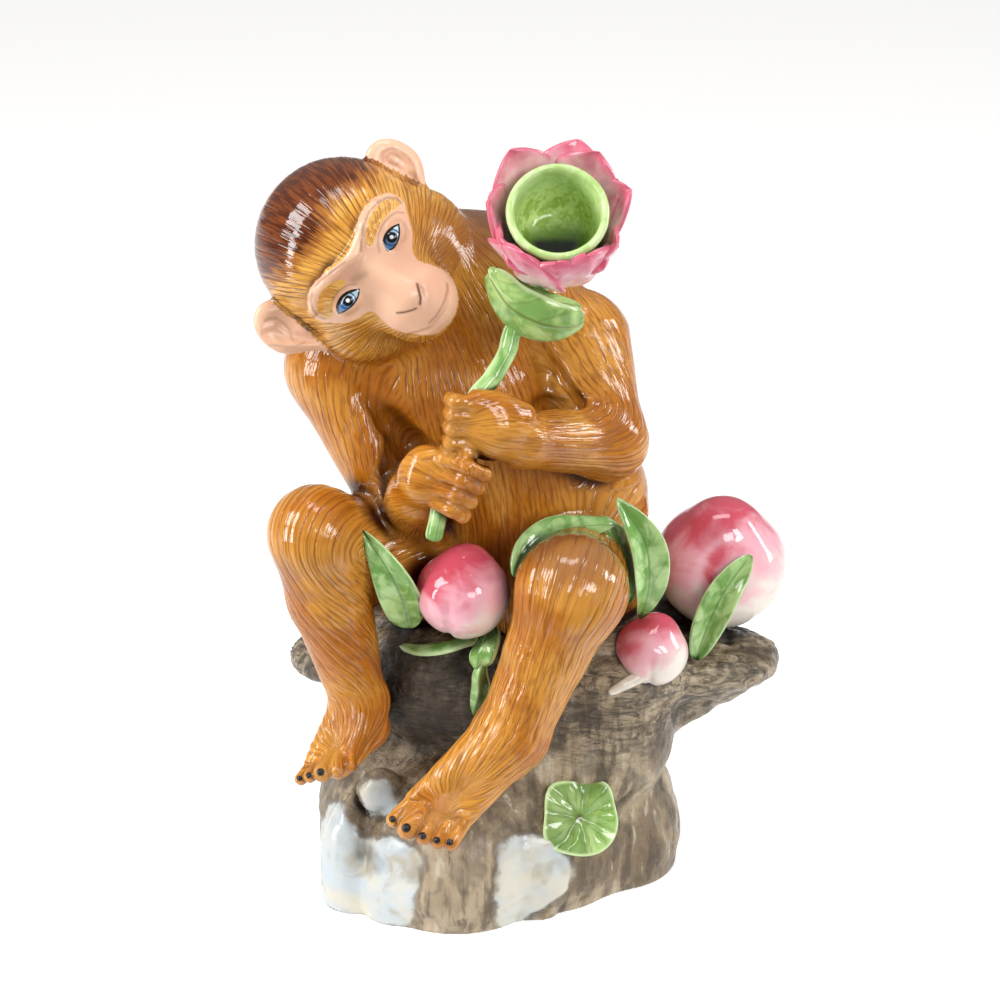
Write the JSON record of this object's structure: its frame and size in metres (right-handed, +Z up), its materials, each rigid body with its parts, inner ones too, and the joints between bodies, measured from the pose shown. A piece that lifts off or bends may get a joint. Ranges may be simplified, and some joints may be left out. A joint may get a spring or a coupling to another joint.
{
  "type": "candlestick figure",
  "caption": "Glazed porcelain candlestick: a seated monkey on a tree stump with peaches holds a lotus flower whose green cup is the candle socket.",
  "frame": {"origin": "middle of the flat foot's bounding box, on the surface that the figure stands on", "axes": "+Z up, the monkey's knees and the flower face -Y, +X towards the viewer's right, where the big peach lies"},
  "size_m": [0.1998, 0.137, 0.3006],
  "materials": {
    "fur_glaze": "thick glossy ochre-brown glaze, darker where it pools in the combed fur",
    "face_glaze": "glossy pale pink glaze on the face and ears, with painted blue eyes",
    "leaf_glaze": "glossy green glaze with darker veins",
    "petal_glaze": "glossy pink glaze that fades to white at the foot of each petal",
    "peach_glaze": "glossy raspberry blush on white",
    "rock_glaze": "glossy grey-brown glaze, with pale blue-white patches on the front"
  },
  "bodies": {
    "root": {"monkey_figure": "fur_glaze"}
  },
  "joints": []
}
